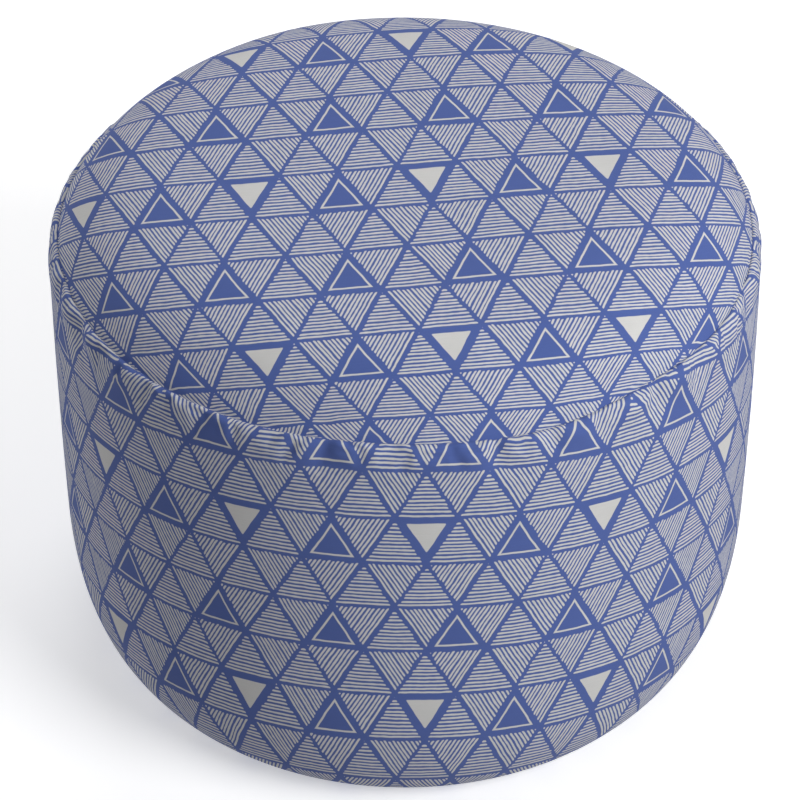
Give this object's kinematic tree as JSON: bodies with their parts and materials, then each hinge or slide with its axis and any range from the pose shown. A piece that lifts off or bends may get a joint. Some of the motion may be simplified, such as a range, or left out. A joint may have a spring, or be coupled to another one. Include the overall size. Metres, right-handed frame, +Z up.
{
  "type": "round floor pouf",
  "caption": "Round filled floor pouf in printed cloth: crowned top, gathered top seam, upright wall that rounds under to a flat base.",
  "frame": {"origin": "middle of the base, on the surface the pouf stands on", "axes": "+Z up through the middle of the top; -Y towards the side that faces the picture's camera"},
  "size_m": [0.7198, 0.7228, 0.5647],
  "materials": {
    "side_cloth": "matt plain-woven cloth, blue with off-white line print",
    "top_cloth": "matt plain-woven cloth, blue with off-white line print",
    "base_cloth": "matt plain-woven cloth, plain blue"
  },
  "bodies": {
    "root": {"side_band": "side_cloth", "top_panel": "top_cloth", "base_panel": "base_cloth"}
  },
  "joints": []
}
